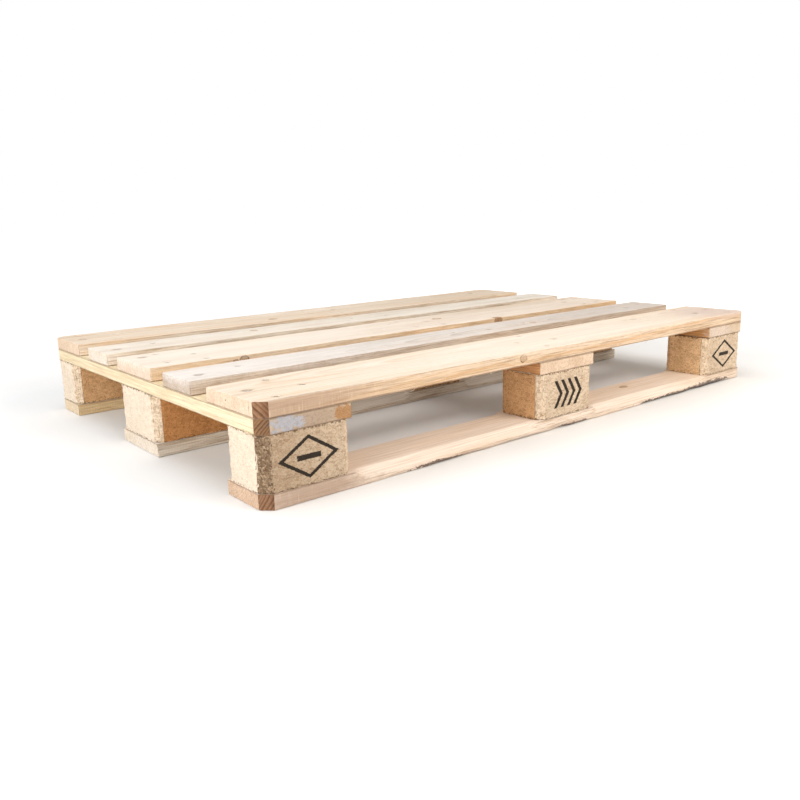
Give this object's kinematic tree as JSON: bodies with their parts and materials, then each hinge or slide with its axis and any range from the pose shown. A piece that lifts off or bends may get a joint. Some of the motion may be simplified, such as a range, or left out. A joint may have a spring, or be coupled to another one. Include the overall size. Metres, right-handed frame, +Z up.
{
  "type": "pallet",
  "caption": "Four-way entry wooden block pallet: slatted deck on cross stringers, pressed-wood blocks and base boards, joined by driven nails.",
  "frame": {"origin": "middle of the underside, on the floor", "axes": "+X along the deck boards (1200 mm), +Y across them (800 mm), +Z up"},
  "size_m": [1.2, 0.8, 0.144],
  "materials": {
    "deck_timber": "rough-sawn pale pine and spruce, unfinished",
    "weathered_timber": "rough-sawn softwood, greyed by weather",
    "stringer_timber": "rough-sawn pine",
    "base_timber": "rough-sawn pine with planed upper edges between the blocks",
    "pressed_wood": "coarse pressed wood chips",
    "nail_steel": "dull bright-drawn steel"
  },
  "bodies": {
    "root": {"base_back": "base_timber", "base_centre": "base_timber", "base_front": "base_timber", "block_back_left": "pressed_wood", "block_back_middle": "pressed_wood", "block_back_right": "pressed_wood", "block_centre_left": "pressed_wood", "block_centre_middle": "pressed_wood", "block_centre_right": "pressed_wood", "block_front_left": "pressed_wood", "block_front_middle": "pressed_wood", "block_front_right": "pressed_wood", "deck_centre": "deck_timber", "deck_inner_back": "deck_timber", "deck_inner_front": "weathered_timber", "deck_outer_back": "deck_timber", "deck_outer_front": "deck_timber", "nail_long_back_left_1": "nail_steel", "nail_long_back_left_2": "nail_steel", "nail_long_back_left_3": "nail_steel", "nail_long_back_middle_1": "nail_steel", "nail_long_back_middle_2": "nail_steel", "nail_long_back_middle_3": "nail_steel", "nail_long_back_right_1": "nail_steel", "nail_long_back_right_2": "nail_steel", "nail_long_back_right_3": "nail_steel", "nail_long_centre_left_1": "nail_steel", "nail_long_centre_left_2": "nail_steel", "nail_long_centre_left_3": "nail_steel", "nail_long_centre_middle_1": "nail_steel", "nail_long_centre_middle_2": "nail_steel", "nail_long_centre_middle_3": "nail_steel", "nail_long_centre_right_1": "nail_steel", "nail_long_centre_right_2": "nail_steel", "nail_long_centre_right_3": "nail_steel", "nail_long_front_left_1": "nail_steel", "nail_long_front_left_2": "nail_steel", "nail_long_front_left_3": "nail_steel", "nail_long_front_middle_1": "nail_steel", "nail_long_front_middle_2": "nail_steel", "nail_long_front_middle_3": "nail_steel", "nail_long_front_right_1": "nail_steel", "nail_long_front_right_2": "nail_steel", "nail_long_front_right_3": "nail_steel", "nail_short_back_left_1": "nail_steel", "nail_short_back_left_2": "nail_steel", "nail_short_back_middle_1": "nail_steel", "nail_short_back_middle_2": "nail_steel", "nail_short_back_right_1": "nail_steel", "nail_short_back_right_2": "nail_steel", "nail_short_front_left_1": "nail_steel", "nail_short_front_left_2": "nail_steel", "nail_short_front_middle_1": "nail_steel", "nail_short_front_middle_2": "nail_steel", "nail_short_front_right_1": "nail_steel", "nail_short_front_right_2": "nail_steel", "stringer_left": "stringer_timber", "stringer_middle": "stringer_timber", "stringer_right": "stringer_timber"}
  },
  "joints": []
}
